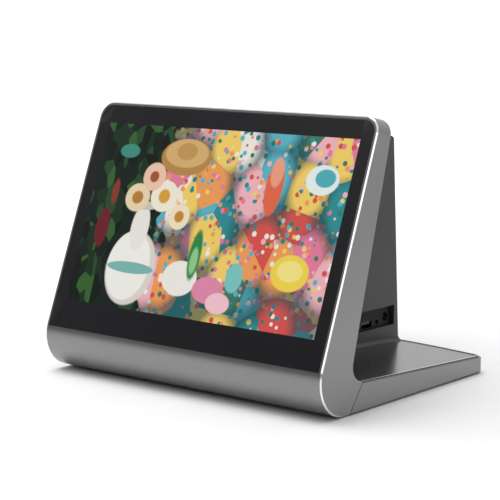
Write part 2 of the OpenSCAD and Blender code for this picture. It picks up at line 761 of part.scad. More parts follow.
module housing_screws() color("gray") on_base() housing_bosses() translate([0, 0, -plate_t])
    rotate([180, 0, 0]) screw(screw_r, screw_head_r, screw_head_t, screw_l);

// The bay's space through the right wall
module port_bay()
    box_between([housing_in - 1, bay_front, bay_z], [housing_half + 1, bay_rear, bay_z + bay_h]);

module port_plate() color("black") difference() {
    box_between([port_face - port_plate_t, bay_front - bay_frame_w, bay_z - bay_frame_w + 0.3],
        [housing_in, bay_rear + bay_frame_w, bay_z + bay_h + bay_frame_w]);
    box_between([port_face, bay_front, bay_z], [housing_in + 1, bay_rear, bay_z + bay_h]);
    for (i = [0:len(SOCKET_W) - 1]) translate([0, socket_y(i), board_top])
        box_between([port_face - port_plate_t - 1, -SOCKET_W[i] / 2 - 0.1, -0.2],
            [port_face + 1, SOCKET_W[i] / 2 + 0.1, SOCKET_H[i] + 0.1]);
}

// ---- main board ----
module main_board() color("darkgreen") difference() {
    box_between([board_x[0], board_front, board_top - board_t], [board_x[1], board_rear, board_top]);
    for (x = board_hole_x, y = board_hole_y) translate([x, y, 0])
        upright_rod(small_screw_r + hole_gap, 0, board_top + 1);
}

module board_screws() color("gray") for (x = board_hole_x, y = board_hole_y)
    translate([x, y, board_top]) small_screw(small_screw_l);

module shield_can() color("lightgray") translate([can_c.x, can_c.y, board_top]) difference() {
    box_between([-can_w / 2, -can_w / 2, 0], [can_w / 2, can_w / 2, can_h]);
    box_between([shell_t - can_w / 2, shell_t - can_w / 2, -1],
        [can_w / 2 - shell_t, can_w / 2 - shell_t, can_h - shell_t]);
}

module heatsink() color("gray") translate([can_c.x, can_c.y, board_top + can_h]) {
    box_between([-sink_w / 2, -sink_w / 2, 0], [sink_w / 2, sink_w / 2, sink_base_t]);
    for (i = [0:sink_fins - 1])
        translate([-sink_w / 2 + i * (sink_w - sink_fin_t) / (sink_fins - 1), -sink_w / 2, sink_base_t - 0.1])
            cube([sink_fin_t, sink_w, sink_fin_h]);
}

// The block of a socket, flush with the face of the bay
module socket_block(i)
    box_between([port_face - SOCKET_L[i], -SOCKET_W[i] / 2, 0], [port_face, SOCKET_W[i] / 2, SOCKET_H[i]]);

module power_jack() color("black") translate([0, socket_y(0), board_top]) {
    difference() {
        socket_block(0);
        translate([0, 0, SOCKET_H[0] / 2]) side_rod(power_hole_r, port_face - power_hole_l, port_face + 1);
    }
    translate([0, 0, SOCKET_H[0] / 2]) side_rod(power_pin_r, port_face - power_hole_l - 1, port_face - 1);
}

module audio_jack() color("black") translate([0, socket_y(1), board_top]) difference() {
    socket_block(1);
    translate([0, 0, SOCKET_H[1] / 2]) side_rod(audio_hole_r, port_face - audio_hole_l, port_face + 1);
}

module usb_sockets() color("silver") for (i = [2, 3]) translate([0, socket_y(i), board_top]) {
    difference() {
        socket_block(i);
        box_between([port_face - serial_l, shell_t - SOCKET_W[i] / 2, shell_t],
            [port_face + 1, SOCKET_W[i] / 2 - shell_t, SOCKET_H[i] - shell_t]);
    }
    box_between([port_face - serial_l - 1, contact_side - SOCKET_W[i] / 2, contact_low],
        [port_face - 1, SOCKET_W[i] / 2 - contact_side, contact_low + contact_t]);
}

module network_jack() color("gray") translate([0, socket_y(4), board_top]) difference() {
    socket_block(4);
    box_between([port_face - network_l, -network_w / 2, network_z[0]],
        [port_face + 1, network_w / 2, network_z[1]]);
    box_between([port_face - network_l, -network_latch_w / 2, network_z[0]],
        [port_face + 1, network_latch_w / 2, network_z[2]]);
}

// ---- loudspeaker ----
// Closed box that the loudspeaker breathes into, with ears for its screws
module speaker_box() color("black") on_housing() difference() {
    union() {
        box_between([-box_w / 2, -box_q - box_l, speaker_z - box_h / 2],
            [box_w / 2, -baffle_q, speaker_z + box_h / 2]);
        speaker_bosses() box_between([-ear_r, -box_q, -ear_r], [ear_r, -baffle_q, ear_r]);
    }
    box_between([box_wall - box_w / 2, -box_q - box_l + box_wall, speaker_z - box_h / 2 + box_wall],
        [box_w / 2 - box_wall, -box_q, speaker_z + box_h / 2 - box_wall]);
    translate([0, 0, speaker_z]) rear_rod(cone_r + basket_t + cone_side_gap, -box_q - 1, 0);
    speaker_bosses() rear_rod(small_screw_r + hole_gap, -box_q - 1, 0);
}

// Turns a profile drawn as [radius, distance in front of the housing's rear face] about the cone's axis
module speaker_turned()
    on_housing() translate([0, 0, speaker_z]) rotate([90, 0, 0]) rotate_extrude() children();

module speaker_driver() color("gray") speaker_turned() polygon([[cone_r, flange_q], [speaker_r, flange_q],
    [speaker_r, baffle_q], [cone_r + basket_t, baffle_q], [magnet_r, baffle_q + basket_l],
    [magnet_r, baffle_q + basket_l + magnet_l], [0, baffle_q + basket_l + magnet_l],
    [0, baffle_q + basket_l - 1], [magnet_r - 2, baffle_q + basket_l - 1], [cone_r, baffle_q]]);

module speaker_cone() color("black") speaker_turned() polygon([[cone_r, flange_q + cone_t],
    [cone_r, flange_q + 2 * cone_t], [cone_hole_r, baffle_q + cone_l + cone_t],
    [0, baffle_q + cone_dust_l + cone_t], [0, baffle_q + cone_dust_l], [cone_hole_r, baffle_q + cone_l]]);

module speaker_gasket() color("dimgray") speaker_turned()
    translate([cone_r + cone_side_gap, housing_wall]) square([speaker_r - cone_r - cone_side_gap, gasket_t]);

module speaker_screws() color("gray") on_housing() speaker_bosses() translate([0, -box_q, 0])
    rotate([90, 0, 0]) small_screw(small_screw_l);

// ---- keys ----
module key_board() color("darkgreen") on_housing() {
    difference() {
        box_between([key_board_x, -key_q - key_board_w / 2, key_board_hole_z[0] - key_board_end],
            [key_board_x + key_board_t, -key_q + key_board_w / 2, key_board_hole_z[1] + key_board_end]);
        for (z = key_board_hole_z) translate([0, -key_q, z])
            side_rod(small_screw_r + hole_gap, key_board_x - 1, key_board_x + key_board_t + 1);
    }
    for (z = key_z) translate([0, -key_q, z]) side_rod(switch_r, key_face, key_board_x + 0.01);
}

module key_board_screws() color("gray") on_housing() for (z = key_board_hole_z)
    translate([key_board_x + key_board_t, -key_q, z]) rotate([0, 90, 0])
        small_screw(key_screw_l);

// A key that stands through the left wall, kept in by the flange behind it
module side_key(i) on_housing() {
    key_solid(i, -housing_half - key_proud, -housing_in + 0.01, 0);
    key_solid(i, -housing_in, -housing_in + key_flange_t, key_flange_out);
}
module power_key() color("lightgray") side_key(2);
module volume_up_key() color("lightgray") side_key(1);
module volume_down_key() color("lightgray") side_key(0);

front_frame();
cover_glass();
lcd_panel();
backlight_unit();
display_tray();
tray_screws();
microphone_board();
antenna_left();
antenna_right();
panel_back_cover();
cover_screws();
display_flex();
base_frame();
base_top_plate();
base_bottom_plate();
ballast_plate();
bottom_screws();
rubber_feet();
rear_housing();
housing_screws();
port_plate();
main_board();
board_screws();
shield_can();
heatsink();
power_jack();
audio_jack();
usb_sockets();
network_jack();
speaker_box();
speaker_driver();
speaker_cone();
speaker_gasket();
speaker_screws();
key_board();
key_board_screws();
power_key();
volume_up_key();
volume_down_key();
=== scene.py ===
# %% [markdown]
# # A desktop smart display
# A leaned-back screen in a silver frame stands on a low wedge of a base, with a dark housing behind it.
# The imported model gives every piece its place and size. This file gives the pieces their edges, their
# finishes, the light and the camera. Lengths are metres.

# %% Load the frame
import json
import math

import bpy
from mathutils import Matrix, Vector


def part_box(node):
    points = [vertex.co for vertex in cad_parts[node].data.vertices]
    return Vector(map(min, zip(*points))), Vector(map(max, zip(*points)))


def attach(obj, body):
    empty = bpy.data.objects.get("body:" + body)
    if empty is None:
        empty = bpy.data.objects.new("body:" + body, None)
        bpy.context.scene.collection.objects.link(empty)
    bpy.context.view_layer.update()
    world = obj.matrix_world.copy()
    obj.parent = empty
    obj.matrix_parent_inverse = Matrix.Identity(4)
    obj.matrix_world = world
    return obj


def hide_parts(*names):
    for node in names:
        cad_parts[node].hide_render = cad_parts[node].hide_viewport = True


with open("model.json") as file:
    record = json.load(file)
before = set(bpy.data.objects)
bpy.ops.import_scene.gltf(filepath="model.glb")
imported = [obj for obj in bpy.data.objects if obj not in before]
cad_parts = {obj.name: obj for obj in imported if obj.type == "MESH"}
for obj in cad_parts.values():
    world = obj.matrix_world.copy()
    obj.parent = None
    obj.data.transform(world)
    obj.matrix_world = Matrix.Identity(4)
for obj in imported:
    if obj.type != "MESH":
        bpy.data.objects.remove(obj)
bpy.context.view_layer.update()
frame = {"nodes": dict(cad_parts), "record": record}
nodes = frame["nodes"]
MM = 0.001
print("pieces in the frame:", len(nodes))

# %% [markdown]
# ## The camera
# A long lens from the front right and a little above keeps the upright edges nearly parallel. Every picture
# of a small object is easier to read from that far away, so the camera stands more than a metre off.

# %% Camera
camera_data = bpy.data.cameras.new("camera")
camera_data.sensor_width = 36
camera_data.lens = 120.35
camera = bpy.data.objects.new("camera", camera_data)
camera.location = (0.7158, -0.8966, 0.2618)
camera.rotation_euler = [math.radians(angle) for angle in (81.24, 0, 39.33)]
bpy.context.scene.collection.objects.link(camera)
bpy.context.scene.camera = camera
print("camera at", tuple(camera.location))


# %% [markdown]
# ## Driving sizes
# Most sizes are read from the frame's boxes. The screen leans back, so a few points are kept in its own
# frame of reference: depth behind the glass, and distance up it.

# %% Sizes read from the frame
LEAN = math.radians(21.4)
INTO_SCREEN = Vector((0, math.cos(LEAN), -math.sin(LEAN)))
UP_SCREEN = Vector((0, math.sin(LEAN), math.cos(LEAN)))

frame_low, frame_high = (Vector(corner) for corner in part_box("front_frame"))
base_low, base_high = (Vector(corner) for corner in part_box("base_frame"))
housing_low, housing_high = (Vector(corner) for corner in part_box("rear_housing"))
NOSE_R = 24.8 * MM
nose_centre = Vector((0, frame_low.y + NOSE_R, frame_low.z + NOSE_R))
screen_start = nose_centre - NOSE_R * INTO_SCREEN
HALF_W = frame_high.x
print("half width", round(HALF_W, 5), "screen starts at", tuple(round(v, 5) for v in screen_start))


def depth_behind_screen(point):
    """How far a point lies behind the plane of the screen's front."""
    return (point - screen_start).dot(INTO_SCREEN)


# %% [markdown]
# ## Helpers for modelling
# An edit-mode operator acts on whatever is selected, so these helpers clear the selection, open one piece,
# and select its faces or edges by a rule about their place and direction.

# %% Limits for the helpers
# Points closer than this are merged in a CAD copy, and faces this nearly level with each other become one
WELD = 0.01 * MM
LEVEL = math.radians(0.3)
# An edge is worked when it turns more than the first angle, and shaded round below the second
SHARP_FROM = math.radians(25)
ROUND_BELOW = math.radians(28)
# Faces smaller than a sliver are ignored, and faces larger than broad are shaded flat
SLIVER = 0.02 * MM ** 2
BROAD = 1000 * MM ** 2


# %% Helpers for modelling
def only(piece):
    """Makes one piece the only selected one, in object mode."""
    if bpy.context.object and bpy.context.object.mode != "OBJECT":
        bpy.ops.object.mode_set(mode="OBJECT")
    bpy.ops.object.select_all(action="DESELECT")
    piece.select_set(True)
    bpy.context.view_layer.objects.active = piece


def copy_of(node_name, name, materials):
    """A copy of a CAD piece, welded and with its flat faces made whole, ready for its edges to be worked."""
    piece = bpy.data.objects.new(name, nodes[node_name].data.copy())
    bpy.context.scene.collection.objects.link(piece)
    give(piece, materials)
    only(piece)
    if piece.data.has_custom_normals:
        bpy.ops.mesh.customdata_custom_splitnormals_clear()
    bpy.ops.object.mode_set(mode="EDIT")
    bpy.ops.mesh.select_all(action="SELECT")
    bpy.ops.mesh.remove_doubles(threshold=WELD)
    bpy.ops.mesh.dissolve_limited(angle_limit=LEVEL)
    bpy.ops.object.mode_set(mode="OBJECT")
    return piece


def give(piece, materials):
    """Gives a piece its materials, before any bevel that puts its faces in one of them."""
    piece.data.materials.clear()
    for material in materials:
        piece.data.materials.append(material)


def faces_at_edges(mesh):
    """For each edge, the normals of the faces that meet there. A sliver's direction means nothing."""
    meeting = {}
    for face in mesh.polygons:
        if face.area < SLIVER:
            continue
        for key in face.edge_keys:
            meeting.setdefault(key, []).append(face.normal)
    return meeting


def select_edges(piece, rule):
    """Selects the sharp edges that a rule picks by their middle and the normals of their two faces."""
    only(piece)
    # In vertex mode, two picked edges would bring in the edges between their ends
    bpy.context.tool_settings.mesh_select_mode = (False, True, False)
    mesh = piece.data
    meeting = faces_at_edges(mesh)
    mesh.polygons.foreach_set("select", [False] * len(mesh.polygons))
    mesh.vertices.foreach_set("select", [False] * len(mesh.vertices))
    chosen = 0
    for edge in mesh.edges:
        normals = meeting.get(tuple(sorted(edge.vertices)), [])
        middle = (mesh.vertices[edge.vertices[0]].co + mesh.vertices[edge.vertices[1]].co) / 2
        sharp = len(normals) == 2 and normals[0].angle(normals[1], 0) > SHARP_FROM
        edge.select = sharp and rule(middle, normals)
        chosen += edge.select
    bpy.ops.object.mode_set(mode="EDIT")
    return chosen


def bevel_edges(piece, width, rule, segments=2, slot=-1, profile=0.5):
    """Bevels the edges that a rule picks."""
    chosen = select_edges(piece, rule)
    if chosen:
        bpy.ops.mesh.bevel(offset=width, segments=segments, profile=profile, affect="EDGES",
                           clamp_overlap=False, material=slot)
    bpy.ops.object.mode_set(mode="OBJECT")
    print(piece.name, "edges worked:", chosen)


def near(value, target, slack=0.02 * MM):
    return abs(value - target) < slack


def is_side(normal):
    return abs(normal.x) > 0.99


def looks_up(normal):
    return normal.z > 0.9


def looks_down(normal):
    return normal.z < -0.9


def start_cube(name, low, high):
    """A cube stretched between two corners, as the start of a piece."""
    bpy.ops.object.select_all(action="DESELECT")
    low, high = Vector(low), Vector(high)
    bpy.ops.mesh.primitive_cube_add(size=1, location=(low + high) / 2)
    piece = bpy.context.object
    piece.name = name
    piece.scale = high - low
    bpy.ops.object.transform_apply(location=True, rotation=True, scale=True)
    return piece


def cut_with(piece, cutter):
    """Takes a cutter's shape out of a piece, and then throws the cutter away."""
    only(piece)
    bpy.ops.object.modifier_add(type="BOOLEAN")
    cut = piece.modifiers[-1]
    cut.operation = "DIFFERENCE"
    cut.solver = "EXACT"
    cut.object = cutter
    bpy.ops.object.modifier_apply(modifier=cut.name)
    bpy.data.objects.remove(cutter)


def finish_piece(piece, body, slot_name, *replaced):
    """Smooths a piece's round faces, hangs it on the body it rides on, and hides the CAD pieces that it
    replaces.
    """
    only(piece)
    bpy.ops.object.transform_apply(location=True, rotation=True, scale=True)
    bpy.ops.object.shade_smooth_by_angle(angle=ROUND_BELOW)
    for face in piece.data.polygons:
        if face.area > BROAD:
            face.use_smooth = False
    # A bevel would bend the shading of the flat faces beside it, unless the larger faces weigh more
    bpy.ops.object.modifier_add(type="WEIGHTED_NORMAL")
    piece.modifiers[-1].keep_sharp = True
    bpy.ops.object.modifier_apply(modifier=piece.modifiers[-1].name)
    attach(piece, body)
    if replaced:
        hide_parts(*replaced)
    print(piece.name, "faces:", len(piece.data.polygons))


# %% [markdown]
# ## Helpers for materials
# Colours are written as the hex values of a colour chart and turned to linear light by one function. One
# small function adds a shader node, sets it and links it.

# %% Helpers for materials
def linear(hex_colour):
    """An sRGB hex colour as linear red, green, blue and full opacity."""
    channels = [int(hex_colour[i:i + 2], 16) / 255 for i in (1, 3, 5)]
    return [c / 12.92 if c <= 0.04045 else ((c + 0.055) / 1.055) ** 2.4 for c in channels] + [1]


def add(tree, kind, inputs=(), **settings):
    """Adds a shader node, sets its properties, and sets or links its inputs."""
    made = tree.nodes.new(kind)
    for key, value in settings.items():
        setattr(made, key, value)
    for key, value in dict(inputs).items():
        if isinstance(value, bpy.types.NodeSocket):
            tree.links.new(value, made.inputs[key])
        else:
            made.inputs[key].default_value = value
    return made


def new_material(name):
    """An empty material, its tree, and a Principled shader joined to its output."""
    material = bpy.data.materials.new(name)
    material.use_nodes = True
    tree = material.node_tree
    tree.nodes.clear()
    shader = add(tree, "ShaderNodeBsdfPrincipled")
    add(tree, "ShaderNodeOutputMaterial", {"Surface": shader.outputs["BSDF"]})
    return material, tree, shader


def grained(name, dark, light, grain_mm, roughness, metallic=0.0, bump_mm=0.0, spread=0.04, **sockets):
    """A surface whose colour and gloss vary a little with a grain of a real size."""
    material, tree, shader = new_material(name)
    place = add(tree, "ShaderNodeTexCoord")
    noise = add(tree, "ShaderNodeTexNoise", {"Vector": place.outputs["Object"],
                                             "Scale": 1 / (grain_mm * MM), "Detail": 2.0})
    colour = add(tree, "ShaderNodeMix", {0: noise.outputs["Fac"], 6: linear(dark), 7: linear(light)},
                 data_type="RGBA")
    tree.links.new(colour.outputs[2], shader.inputs["Base Color"])
    gloss = add(tree, "ShaderNodeMapRange", {"Value": noise.outputs["Fac"], "To Min": roughness - spread,
                                             "To Max": roughness + spread})
    tree.links.new(gloss.outputs["Result"], shader.inputs["Roughness"])
    if bump_mm:
        bump = add(tree, "ShaderNodeBump", {"Height": noise.outputs["Fac"], "Distance": bump_mm * MM,
                                            "Strength": 0.6})
        tree.links.new(bump.outputs["Normal"], shader.inputs["Normal"])
    shader.inputs["Metallic"].default_value = metallic
    for key, value in sockets.items():
        shader.inputs[key.replace("_", " ")].default_value = value
    return material


# %% [markdown]
# ## Finishes
# The silver pieces are moulded plastic with a metallic lacquer: fine flakes under a clear coat, so a bright
# edge shows sharp while the body of the colour stays soft. The chamfers are given a smooth near-white
# colour, a painted highlight that draws the light line along the edges.

# %% Silver lacquer, painted highlight for the chamfers, and smooth plate
# Lacquered plastic. Flakes are about 0.05 mm; they are drawn at 0.4 mm, the finest that still shows.
silver_lacquer = grained("metallic_lacquer_silver", "#848384", "#929192", 0.4, 0.30, metallic=0.9,
                         Coat_Weight=0.25, Coat_Roughness=0.2)
# The chamfers' near-white colour, a painted highlight that draws their light lines
painted_highlight = grained("near_white_painted_highlight", "#e9e9ea", "#f6f6f6", 2.0, 0.16, metallic=1.0)
# The same kind of lacquer on the plate, a little darker and smoother
plate_lacquer = grained("metallic_lacquer_plate", "#7a797b", "#868587", 0.4, 0.25, metallic=0.95,
                        Coat_Weight=0.2, Coat_Roughness=0.2)

# %% [markdown]
# The housing and the screen's back are dark moulded ABS with a spark-eroded texture of about 0.15 mm, which
# gives a soft sheen and no clear reflection. It is drawn at 0.5 mm, so that it still shows.

# %% Plastics and rubber
housing_plastic = grained("textured_abs_dark_grey", "#2c2b2d", "#363537", 0.5, 0.42, bump_mm=0.02, IOR=1.53)
underside_plastic = grained("textured_abs_underside", "#2b2b2d", "#353537", 0.7, 0.6, bump_mm=0.03, IOR=1.53)
# Real black nylon parts, and also painted shade: the seam's chamfer and the lip's side are coloured with it
black_plastic = grained("black_nylon_and_painted_shade", "#060606", "#0b0b0c", 0.8, 0.7, bump_mm=0.01, IOR=1.53)
socket_plastic = grained("moulded_nylon_grey", "#0e0e0f", "#161617", 0.8, 0.6, IOR=1.53)
key_plastic = grained("lacquered_key", "#77787c", "#87888b", 0.4, 0.35, metallic=0.6)
rubber = grained("moulded_rubber", "#111111", "#1c1c1c", 0.6, 0.75, bump_mm=0.03, IOR=1.52)
foam = grained("closed_cell_foam", "#1b1b1c", "#2c2c2d", 0.5, 0.9, bump_mm=0.1)
cone_paper = grained("pressed_paper_cone", "#141414", "#222222", 1.2, 0.8, bump_mm=0.05)

# %% [markdown]
# Inside are zinc-plated and nickel-plated steel, extruded aluminium and green circuit boards. Most of them
# show only when the model is opened, and each still has a grain of its own.

# %% Metals and boards
zinc_steel = grained("zinc_plated_steel", "#9a9da1", "#b4b6b9", 3.0, 0.36, metallic=1.0, spread=0.08)
screw_steel = grained("blackened_screw_steel", "#3a3a3c", "#4d4d4f", 0.6, 0.38, metallic=1.0)
nickel_steel = grained("nickel_plated_steel", "#3c3b3b", "#4a4948", 1.5, 0.34, metallic=1.0)
sink_aluminium = grained("extruded_aluminium", "#a3a5a8", "#b9babc", 0.8, 0.4, metallic=1.0)
speaker_steel = grained("pressed_steel_basket", "#57585b", "#6a6b6e", 1.0, 0.4, metallic=1.0)
board_mask = grained("solder_mask_green", "#12401f", "#1c5a2c", 1.6, 0.3, spread=0.08, IOR=1.5)
copper_film = grained("copper_on_film", "#9c6a2c", "#b98438", 1.5, 0.35, spread=0.08)
film_cable = grained("polyimide_cable", "#8c4f17", "#a8641f", 1.0, 0.35)
light_guide = grained("acrylic_light_guide", "#dcdcdf", "#ececee", 2.0, 0.3, IOR=1.49)
liquid_crystal = grained("liquid_crystal_cell", "#141417", "#1d1d20", 2.0, 0.12, IOR=1.52)

FINISHES = {
    "silver_paint": silver_lacquer, "pressed_steel": zinc_steel, "screw_steel": screw_steel,
    "circuit_board": board_mask, "antenna_foil": copper_film, "dark_grey_plastic": housing_plastic,
    "flat_cable": film_cable, "base_plate_paint": plate_lacquer, "underside_plastic": underside_plastic,
    "rubber": rubber, "black_plastic": black_plastic, "tinned_steel": nickel_steel,
    "heatsink_aluminium": sink_aluminium, "socket_grey_plastic": socket_plastic,
    "speaker_steel": speaker_steel, "paper_cone": cone_paper, "foam": foam, "key_plastic": key_plastic,
    "backlight": light_guide, "lcd_cell": liquid_crystal, "cover_glass": liquid_crystal}
for entry in frame["record"]["subparts"]:
    materials = nodes[entry["node"]].data.materials
    materials.clear()
    materials.append(FINISHES[entry["material_slot"]])

# %% [markdown]
# ## The lit picture
# The screen shows a stall of sweets and flowers, made up for this model. Its backdrop is dark leaves on the
# left and rows of bright wrapped sweets on the right, both from cells of a random size. The things in front
# are flat ovals with crisp edges, laid from back to front: a straw tray, a vase, blooms, sweets and jars.

# %% Colours and things of the picture
ACTIVE_W = 216.7 * MM
ACTIVE_LOW = 17.35 * MM
ACTIVE_HIGH = 146.4 * MM
WRAPPERS = [
    "#2f8f95", "#e87fa0", "#f3efe6", "#f2a05a", "#5bb7c9", "#d9544f", "#f6d368", "#3a7d6a", "#f4b8c0"]
LEAVES = ["#0e1f14", "#16301c", "#0b160f", "#274a2b", "#101f1c", "#35622f"]
PACK_GAP = "#1d4f55"
LEAF_MM = 7.0
PACK_MM = 24.0
SWEET_MM = 5.0
# Where the leaves end and the packs start, in mm across, and how far that line wanders
STALL_FROM = 98.0
STALL_WANDER = 60.0
EDGE_MM = 0.5
# Each oval: place across and up the picture (0 to 1), half-width and half-height in mm, colour
STRAW_TRAY = [
    ((0.36, 0.84), (22, 13), "#b98b4c"), ((0.36, 0.86), (19, 10), "#d9b273"),
    ((0.36, 0.87), (9, 6), "#c49a58")]
VASE = [
    ((0.24, 0.22), (22, 26), "#dedbd2"), ((0.23, 0.23), (19, 24), "#f7f5ee"),
    ((0.24, 0.44), (8, 16), "#efece4"), ((0.24, 0.56), (11, 3), "#cfcabd"),
    ((0.24, 0.22), (21, 4), "#7fb9b4")]
BLOOMS = [
    ((0.20, 0.60), (11, 10), "#efd9b2"), ((0.20, 0.60), (5, 4.5), "#b9803c"),
    ((0.31, 0.62), (12, 11), "#f8efdc"), ((0.31, 0.62), (5, 5), "#d9a441"),
    ((0.25, 0.72), (10, 10), "#f3c9b0"), ((0.25, 0.72), (4, 4), "#a8552f"),
    ((0.39, 0.52), (9, 9), "#f6e6c4"), ((0.39, 0.52), (4, 4), "#c98a3a")]
SWEETS_AND_JARS = [
    ((0.45, 0.20), (15, 12), "#f3f0e8"), ((0.49, 0.33), (5, 17), "#2d8a4a"),
    ((0.49, 0.30), (3.2, 9), "#8fd08c"), ((0.57, 0.16), (13, 9), "#e48cab"),
    ((0.62, 0.10), (10, 7), "#f7c7d3"), ((0.66, 0.24), (7, 10), "#7dc8c2"),
    ((0.08, 0.42), (6, 14), "#6d1f26"), ((0.10, 0.62), (3, 9), "#8a3a2a"),
    ((0.12, 0.85), (9, 5), "#3f8f7f"), ((0.86, 0.30), (15, 12), "#f4d84f"),
    ((0.86, 0.31), (10, 7), "#f9e988"), ((0.73, 0.72), (7, 19), "#e56a4a"),
    ((0.73, 0.80), (5, 10), "#f0a284"), ((0.90, 0.78), (13, 10), "#e9f4f2"),
    ((0.91, 0.79), (8, 6), "#4fb0b8")]
OVALS = STRAW_TRAY + VASE + BLOOMS + SWEETS_AND_JARS


# %% Picture material
def vector(tree, operation, first, second=(0, 0, 0)):
    return add(tree, "ShaderNodeVectorMath", {0: first, 1: second}, operation=operation)


def mixed(tree, share, low, high):
    return add(tree, "ShaderNodeMix", {0: share, 6: low, 7: high}, data_type="RGBA").outputs[2]


def ranged(tree, value, start, end, top=1.0):
    """Zero up to the start value, rising to the top value at the end value."""
    return add(tree, "ShaderNodeMapRange",
               {"Value": value, "From Min": start, "From Max": end, "To Max": top}).outputs[0]


def cells(tree, place, colours, size, stretch):
    """Cells of a random size, each with one of the colours, and the distance from each cell's middle."""
    shaped = vector(tree, "MULTIPLY", place, stretch).outputs[0]
    cell = add(tree, "ShaderNodeTexVoronoi", {"Vector": shaped, "Scale": 1 / size})
    pick = add(tree, "ShaderNodeSeparateColor", {0: cell.outputs["Color"]})
    ramp = add(tree, "ShaderNodeValToRGB", {0: pick.outputs[0]})
    ramp.color_ramp.interpolation = "CONSTANT"
    while len(ramp.color_ramp.elements) < len(colours):
        ramp.color_ramp.elements.new(1)
    for number, (stop, tint) in enumerate(zip(ramp.color_ramp.elements, colours)):
        stop.position = number / len(colours)
        stop.color = linear(tint)
    return ramp.outputs[0], cell.outputs["Distance"]


def lit_picture():
    """A glossy black panel that glows with a stall of flowers and sweets."""
    material, tree, shader = new_material("lit_picture_under_glass")
    # The picture's own frame: across it and up it, in mm, with its lower left corner at the origin
    corner = screen_start - Vector((ACTIVE_W / 2, 0, 0)) + ACTIVE_LOW * UP_SCREEN
    place = add(tree, "ShaderNodeTexCoord").outputs["Object"]
    moved = vector(tree, "SUBTRACT", place, corner).outputs[0]
    across = vector(tree, "DOT_PRODUCT", moved, Vector((1, 0, 0)) / MM).outputs["Value"]
    upward = vector(tree, "DOT_PRODUCT", moved, UP_SCREEN / MM).outputs["Value"]
    on_picture = add(tree, "ShaderNodeCombineXYZ", {"X": across, "Y": upward}).outputs[0]

    leaves, _ = cells(tree, on_picture, LEAVES, LEAF_MM, (1.0, 0.6, 1))
    packs, from_pack = cells(tree, on_picture, WRAPPERS, PACK_MM, (1.0, 0.8, 1))
    sweets, from_sweet = cells(tree, on_picture, WRAPPERS, SWEET_MM, (1, 1, 1))
    # A sweet shows as a disc on its pack's colour, and packs darken towards the gaps between them
    goods = mixed(tree, ranged(tree, from_sweet, 0.42, 0.34), packs, sweets)
    goods = mixed(tree, ranged(tree, from_pack, 0.5, 0.75, 0.75), goods, linear(PACK_GAP))
    wobble = add(tree, "ShaderNodeTexNoise", {"Vector": on_picture, "Scale": 0.05, "Detail": 3.0})
    wander = add(tree, "ShaderNodeMath", {0: wobble.outputs["Fac"], 1: STALL_WANDER}, operation="MULTIPLY")
    line = add(tree, "ShaderNodeMath", {0: across, 1: wander.outputs[0]}, operation="ADD").outputs[0]
    colour = mixed(tree, ranged(tree, line, STALL_FROM, STALL_FROM + 3), leaves, goods)

    picture_h = (ACTIVE_HIGH - ACTIVE_LOW) / MM
    for (x, y), (half_w, half_h), tint in OVALS:
        away = vector(tree, "SUBTRACT", on_picture, (x * ACTIVE_W / MM, y * picture_h, 0)).outputs[0]
        away = vector(tree, "DIVIDE", away, (half_w, half_h, 1)).outputs[0]
        away = vector(tree, "LENGTH", away).outputs["Value"]
        oval = ranged(tree, away, 1.0 + EDGE_MM / half_w, 1.0 - EDGE_MM / half_w)
        colour = mixed(tree, oval, colour, linear(tint))
    tree.links.new(colour, shader.inputs["Emission Color"])
    shader.inputs["Emission Strength"].default_value = 0.85
    shader.inputs["Base Color"].default_value = linear("#0a0a0b")
    shader.inputs["Roughness"].default_value = 0.06
    shader.inputs["IOR"].default_value = 1.52
    return material


picture = lit_picture()
# Soda-lime glass with black print behind it
black_glass = grained("printed_black_glass", "#1b1b1e", "#202024", 4.0, 0.07, spread=0.01, IOR=1.52)
print("ovals in the picture:", len(OVALS))

# %% [markdown]
# ## The cover glass
# One flat sheet covers the whole front. It starts as a cube of the glass's size, lying upright. Its two top
# corners are bevelled round, its front rim gets a fine bevel, and four cuts across the front face alone mark
# out the lit picture. It is turned to the screen's lean only at the end, when its faces no longer need
# picking by direction.

# %% Cover glass
GLASS_T = 1.5 * MM
GLASS_CORNER = 8.7 * MM
GLASS_RECESS = 0.15 * MM
glass_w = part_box("cover_glass")[1][0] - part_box("cover_glass")[0][0]
GLASS_FOOT = -2.3 * MM
GLASS_RIM = 0.25 * MM
CORNER_STEPS = 14


def select_front_faces(piece):
    """Opens a piece in edit mode with only the faces that look to the front selected."""
    only(piece)
    bpy.context.tool_settings.mesh_select_mode = (False, False, True)
    for face in piece.data.polygons:
        face.select = face.normal.y < -0.99
    bpy.ops.object.mode_set(mode="EDIT")


def glass_head_above():
    """How far up the screen the glass's head lies, from the top of its box."""
    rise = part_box("cover_glass")[1][2] - screen_start.z
    return (rise + GLASS_RECESS * math.sin(LEAN)) / math.cos(LEAN)


def lean_back(piece):
    """Turns a piece made upright at the origin to the screen's place and lean."""
    piece.data.transform(Matrix.Translation(screen_start) @ Matrix.Rotation(-LEAN, 4, "X"))


